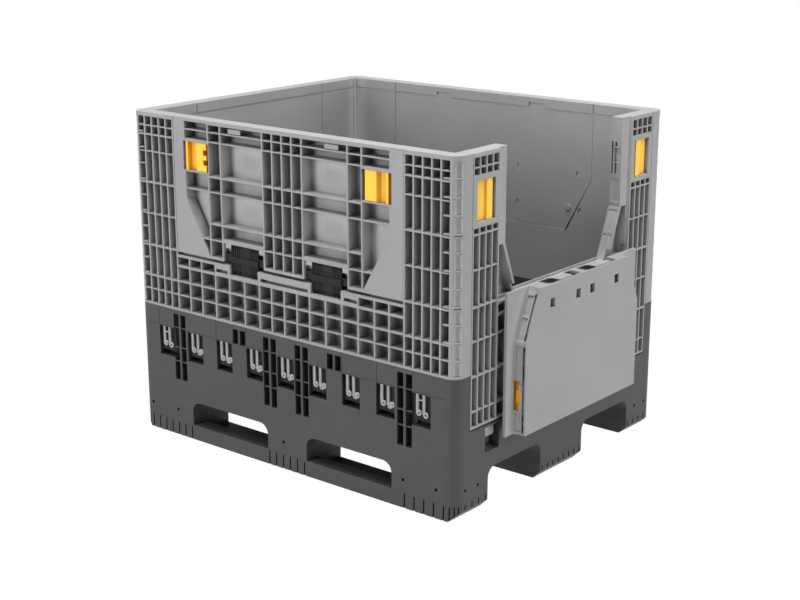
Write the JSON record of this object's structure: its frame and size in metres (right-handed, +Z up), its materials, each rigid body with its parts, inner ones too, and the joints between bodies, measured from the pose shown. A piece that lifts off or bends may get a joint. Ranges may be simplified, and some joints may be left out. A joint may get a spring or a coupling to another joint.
{
  "type": "collapsible pallet box",
  "caption": "Large folding plastic pallet box with ribbed walls, drop-down access doors and a forkable base, one end door open.",
  "frame": {"origin": "middle of the ground face, on the underside of the middle skid", "axes": "+X along the long side, towards the end whose door is open; +Y along the short side, away from the front; +Z up"},
  "size_m": [1.264, 1, 0.975],
  "materials": {
    "dark_grey_plastic": "satin",
    "light_grey_plastic": "satin",
    "yellow_plastic": "satin",
    "black_plastic": "satin"
  },
  "bodies": {
    "root": {"base_tray": "dark_grey_plastic", "front_skid": "dark_grey_plastic", "middle_skid": "dark_grey_plastic", "back_skid": "dark_grey_plastic", "front_wall": "light_grey_plastic", "back_wall": "light_grey_plastic"},
    "right_end": {"right_end_wall": "light_grey_plastic"},
    "left_end": {"left_end_wall": "light_grey_plastic"},
    "right_wall_latch_1": {"right_wall_latch_1": "yellow_plastic"},
    "right_wall_latch_2": {"right_wall_latch_2": "yellow_plastic"},
    "left_wall_latch_1": {"left_wall_latch_1": "yellow_plastic"},
    "left_wall_latch_2": {"left_wall_latch_2": "yellow_plastic"},
    "front_door_links": {"front_door_hinge_1": "black_plastic", "front_door_hinge_2": "black_plastic"},
    "front_door": {"front_door": "light_grey_plastic"},
    "front_door_latch_1": {"front_door_latch_1": "yellow_plastic"},
    "front_door_latch_2": {"front_door_latch_2": "yellow_plastic"},
    "back_door_links": {"back_door_hinge_1": "black_plastic", "back_door_hinge_2": "black_plastic"},
    "back_door": {"back_door": "light_grey_plastic"},
    "back_door_latch_1": {"back_door_latch_1": "yellow_plastic"},
    "back_door_latch_2": {"back_door_latch_2": "yellow_plastic"},
    "right_door_links": {"right_door_hinge_1": "black_plastic", "right_door_hinge_2": "black_plastic"},
    "right_door": {"right_door": "light_grey_plastic"},
    "right_door_latch_1": {"right_door_latch_1": "yellow_plastic"},
    "right_door_latch_2": {"right_door_latch_2": "yellow_plastic"},
    "left_door_links": {"left_door_hinge_1": "black_plastic", "left_door_hinge_2": "black_plastic"},
    "left_door": {"left_door": "light_grey_plastic"},
    "left_door_latch_1": {"left_door_latch_1": "yellow_plastic"},
    "left_door_latch_2": {"left_door_latch_2": "yellow_plastic"}
  },
  "joints": [
    {"name": "right_end_fold", "type": "hinge", "parent": "root", "child": "right_end", "pos_m": [0.577, 0, 0.205], "axis": [0, -1, 0], "range_deg": [0, 90]},
    {"name": "left_end_fold", "type": "hinge", "parent": "root", "child": "left_end", "pos_m": [-0.577, 0, 0.205], "axis": [0, 1, 0], "range_deg": [0, 82]},
    {"name": "right_wall_latch_1_slide", "type": "slide", "parent": "right_end", "child": "right_wall_latch_1", "axis": [0, 1, 0], "range_m": [-0.008, 0.008]},
    {"name": "right_wall_latch_2_slide", "type": "slide", "parent": "right_end", "child": "right_wall_latch_2", "axis": [0, -1, 0], "range_m": [-0.008, 0.008]},
    {"name": "left_wall_latch_1_slide", "type": "slide", "parent": "left_end", "child": "left_wall_latch_1", "axis": [0, -1, 0], "range_m": [-0.008, 0.008]},
    {"name": "left_wall_latch_2_slide", "type": "slide", "parent": "left_end", "child": "left_wall_latch_2", "axis": [0, 1, 0], "range_m": [-0.008, 0.008]},
    {"name": "front_links_turn", "type": "hinge", "parent": "root", "child": "front_door_links", "pos_m": [0, -0.48, 0.556], "axis": [1, 0, 0], "range_deg": [0, 90]},
    {"name": "front_door_drop", "type": "hinge", "parent": "front_door_links", "child": "front_door", "pos_m": [0, -0.48, 0.616], "axis": [1, 0, 0], "range_deg": [0, 90]},
    {"name": "front_door_latch_1_slide", "type": "slide", "parent": "front_door", "child": "front_door_latch_1", "axis": [1, 0, 0], "range_m": [-0.008, 0.008]},
    {"name": "front_door_latch_2_slide", "type": "slide", "parent": "front_door", "child": "front_door_latch_2", "axis": [-1, 0, 0], "range_m": [-0.008, 0.008]},
    {"name": "back_links_turn", "type": "hinge", "parent": "root", "child": "back_door_links", "pos_m": [0, 0.48, 0.556], "axis": [-1, 0, 0], "range_deg": [0, 90]},
    {"name": "back_door_drop", "type": "hinge", "parent": "back_door_links", "child": "back_door", "pos_m": [0, 0.48, 0.616], "axis": [-1, 0, 0], "range_deg": [0, 90]},
    {"name": "back_door_latch_1_slide", "type": "slide", "parent": "back_door", "child": "back_door_latch_1", "axis": [-1, 0, 0], "range_m": [-0.008, 0.008]},
    {"name": "back_door_latch_2_slide", "type": "slide", "parent": "back_door", "child": "back_door_latch_2", "axis": [1, 0, 0], "range_m": [-0.008, 0.008]},
    {"name": "right_links_turn", "type": "hinge", "parent": "right_end", "child": "right_door_links", "pos_m": [0.58, 0, 0.556], "axis": [0, -1, 0], "range_deg": [0, 90]},
    {"name": "right_door_drop", "type": "hinge", "parent": "right_door_links", "child": "right_door", "pos_m": [0.64, 0, 0.556], "axis": [0, -1, 0], "range_deg": [0, 90]},
    {"name": "right_door_latch_1_slide", "type": "slide", "parent": "right_door", "child": "right_door_latch_1", "axis": [0, 1, 0], "range_m": [-0.008, 0.008]},
    {"name": "right_door_latch_2_slide", "type": "slide", "parent": "right_door", "child": "right_door_latch_2", "axis": [0, -1, 0], "range_m": [-0.008, 0.008]},
    {"name": "left_links_turn", "type": "hinge", "parent": "left_end", "child": "left_door_links", "pos_m": [-0.58, 0, 0.556], "axis": [0, -1, 0], "range_deg": [0, 90]},
    {"name": "left_door_drop", "type": "hinge", "parent": "left_door_links", "child": "left_door", "pos_m": [-0.58, 0, 0.616], "axis": [0, -1, 0], "range_deg": [0, 90]},
    {"name": "left_door_latch_1_slide", "type": "slide", "parent": "left_door", "child": "left_door_latch_1", "axis": [0, -1, 0], "range_m": [-0.008, 0.008]},
    {"name": "left_door_latch_2_slide", "type": "slide", "parent": "left_door", "child": "left_door_latch_2", "axis": [0, 1, 0], "range_m": [-0.008, 0.008]}
  ],
  "couplings": [
    {"joint": "front_door_drop", "follows": "front_links_turn", "ratio": 1},
    {"joint": "back_door_drop", "follows": "back_links_turn", "ratio": 1},
    {"joint": "right_door_drop", "follows": "right_links_turn", "ratio": 1},
    {"joint": "left_door_drop", "follows": "left_links_turn", "ratio": 1}
  ]
}
